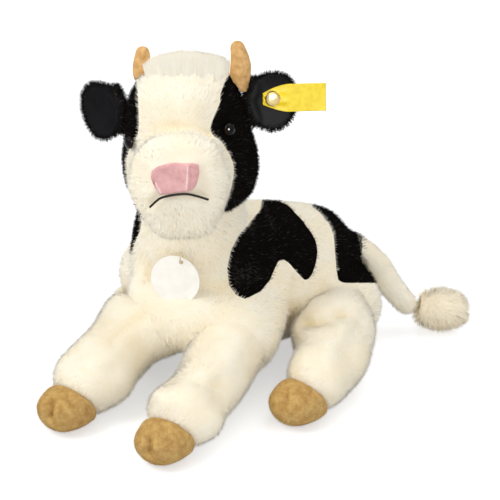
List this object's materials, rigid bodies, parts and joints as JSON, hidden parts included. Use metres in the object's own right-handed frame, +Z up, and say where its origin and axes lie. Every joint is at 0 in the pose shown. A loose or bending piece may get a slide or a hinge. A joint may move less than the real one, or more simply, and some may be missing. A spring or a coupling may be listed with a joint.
{
  "type": "plush cow",
  "caption": "Soft plush cow lying flat on its belly with legs spread, head raised and turned, floppy ears, felt horns, a tufted tail, an ear button with a ribbon and a round chest tag.",
  "frame": {"origin": "on the floor under the middle of the belly, in the flat face that the cow's weight presses there", "axes": "+Z up, -Y the way the body points, +X to the cow's left"},
  "size_m": [0.1565, 0.2438, 0.1894],
  "materials": {
    "cream_plush": "long soft pile",
    "black_plush": "long soft pile",
    "tan_velour": "short velour",
    "tan_felt": "felt",
    "pink_velour": "short velour",
    "polyester_filling": "loose fibre",
    "eye_plastic": "glossy",
    "washer_plastic": "plain",
    "black_thread": "twisted thread",
    "brass": "polished",
    "yellow_ribbon": "woven satin",
    "card": "coated card",
    "tag_thread": "twisted thread"
  },
  "bodies": {
    "torso": {"torso_cover": "cream_plush", "torso_filling": "polyester_filling", "shoulder_patch_left": "black_plush", "shoulder_patch_right": "black_plush", "rump_patch": "black_plush", "tag_thread": "tag_thread"},
    "head": {"head_cover": "cream_plush", "head_filling": "polyester_filling", "cheek_panel_left": "black_plush", "cheek_panel_right": "black_plush", "eye_left": "eye_plastic", "eye_right": "eye_plastic", "eye_washer_left": "washer_plastic", "eye_washer_right": "washer_plastic", "nose_panel": "pink_velour", "mouth_thread": "black_thread", "horn_left": "tan_felt", "horn_right": "tan_felt", "forelock": "cream_plush"},
    "ear_left": {"ear_left_back": "black_plush", "ear_left_lining": "black_plush", "ear_button": "brass", "rivet_plate": "brass"},
    "ear_label": {"ear_label": "yellow_ribbon"},
    "ear_right": {"ear_right_back": "black_plush", "ear_right_lining": "black_plush"},
    "tail": {"tail": "cream_plush", "tail_tuft": "cream_plush"},
    "chest_tag": {"chest_tag": "card"},
    "leg_front_right": {"leg_front_right_cover": "cream_plush", "leg_front_right_filling": "polyester_filling", "hoof_front_right": "tan_velour"},
    "leg_front_left": {"leg_front_left_cover": "cream_plush", "leg_front_left_filling": "polyester_filling", "hoof_front_left": "tan_velour"},
    "leg_hind_left": {"leg_hind_left_cover": "cream_plush", "leg_hind_left_filling": "polyester_filling", "hoof_hind_left": "tan_velour"},
    "leg_hind_right": {"leg_hind_right_cover": "cream_plush", "leg_hind_right_filling": "polyester_filling", "hoof_hind_right": "tan_velour"}
  },
  "joints": [
    {"name": "neck_turn", "type": "hinge", "parent": "torso", "child": "head", "pos_m": [-0.00337, -0.03982, 0.1089], "axis": [0, 0, 1], "range_deg": [-12, 12], "stiffness_Nm_per_rad": 0.6},
    {"name": "ear_left_flex", "type": "hinge", "parent": "head", "child": "ear_left", "pos_m": [0.02047, -0.02708, 0.15819], "axis": [-0.1223, 0.1176, 0.9855], "range_deg": [-15, 15], "stiffness_Nm_per_rad": 0.01},
    {"name": "ear_label_fold", "type": "hinge", "parent": "ear_left", "child": "ear_label", "pos_m": [0.03093, -0.0179, 0.15976], "axis": [0.8046, -0.5696, 0.1678], "range_deg": [-10, 10]},
    {"name": "ear_right_flex", "type": "hinge", "parent": "head", "child": "ear_right", "pos_m": [-0.0313, -0.06113, 0.15174], "axis": [-0.2298, 0.0469, 0.9721], "range_deg": [-15, 15], "stiffness_Nm_per_rad": 0.01},
    {"name": "tail_wag", "type": "hinge", "parent": "torso", "child": "tail", "pos_m": [0.03117, 0.05106, 0.0496], "axis": [0, 0, 1], "range_deg": [-12, 12], "stiffness_Nm_per_rad": 0.02},
    {"name": "tag_swing", "type": "hinge", "parent": "torso", "child": "chest_tag", "pos_m": [0.00778, -0.06354, 0.07688], "axis": [-0.9135, -0.4067, 0], "range_deg": [0, 20]},
    {"name": "leg_front_right_lift", "type": "hinge", "parent": "torso", "child": "leg_front_right", "pos_m": [-0.04575, -0.02703, 0.0464], "axis": [-0.9613, -0.2756, 0], "range_deg": [0, 5], "stiffness_Nm_per_rad": 0.8},
    {"name": "leg_front_left_lift", "type": "hinge", "parent": "torso", "child": "leg_front_left", "pos_m": [0.01995, -0.02802, 0.0364], "axis": [-0.9367, -0.3502, 0], "range_deg": [0, 5], "stiffness_Nm_per_rad": 0.8},
    {"name": "leg_hind_left_spread", "type": "hinge", "parent": "torso", "child": "leg_hind_left", "pos_m": [0.04351, 0.02521, 0.0304], "axis": [0, 0, 1], "range_deg": [0, 7], "stiffness_Nm_per_rad": 0.8},
    {"name": "leg_hind_right_spread", "type": "hinge", "parent": "torso", "child": "leg_hind_right", "pos_m": [-0.02573, 0.01423, 0.0304], "axis": [0, 0, -1], "range_deg": [0, 3], "stiffness_Nm_per_rad": 0.8}
  ]
}
